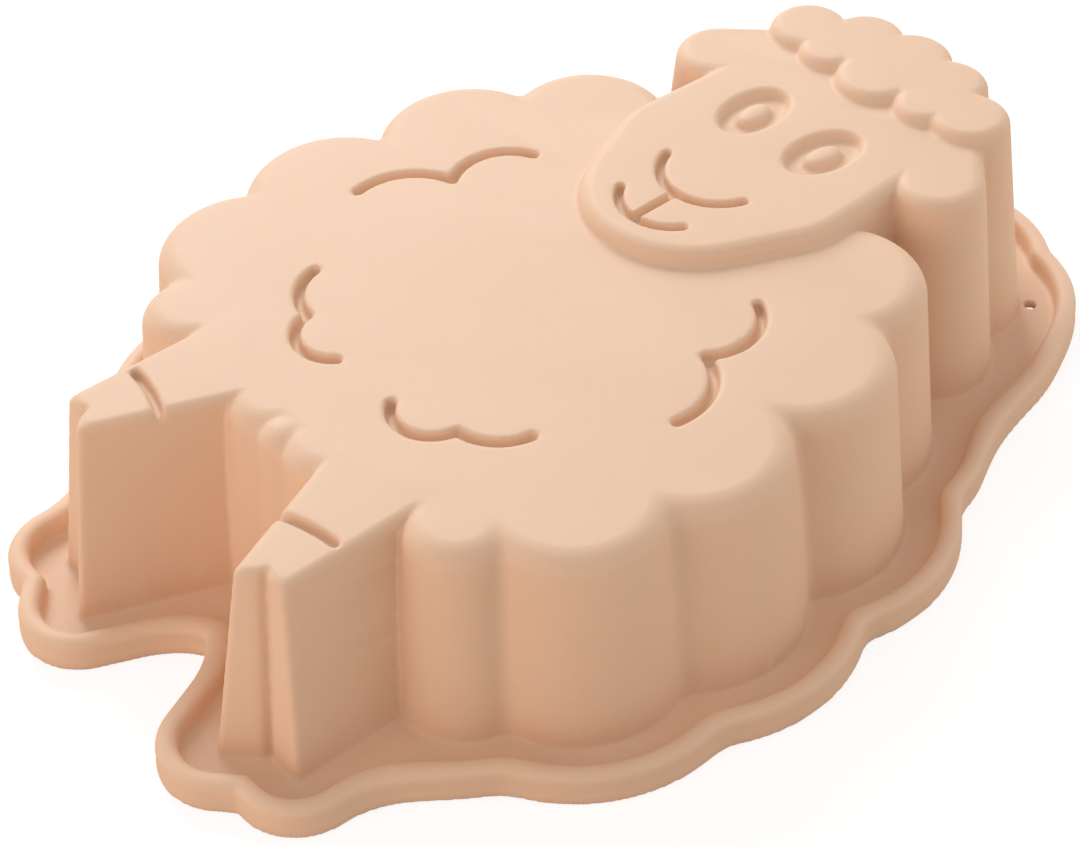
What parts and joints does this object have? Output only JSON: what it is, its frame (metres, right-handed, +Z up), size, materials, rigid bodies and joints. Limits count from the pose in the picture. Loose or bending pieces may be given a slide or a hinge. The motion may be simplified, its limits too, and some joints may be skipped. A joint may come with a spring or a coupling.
{
  "type": "animal cake mould",
  "caption": "Soft one-piece cake mould shaped as a standing lamb, with a scalloped fleece, two cloven legs, a raised face and hair, and a flange with an upturned bead.",
  "frame": {"origin": "centre of the mould's bounding box in plan, on the plane that its rim lies on", "axes": "+Z up through the closed floor of the mould, which is on top as it rests open side down; +Y from the hooves to the hair; +X to the side of the flange with the hang hole"},
  "size_m": [0.198, 0.2728, 0.0593],
  "materials": {
    "silicone": "satin"
  },
  "bodies": {
    "root": {"silicone_mould": "silicone"}
  },
  "joints": []
}
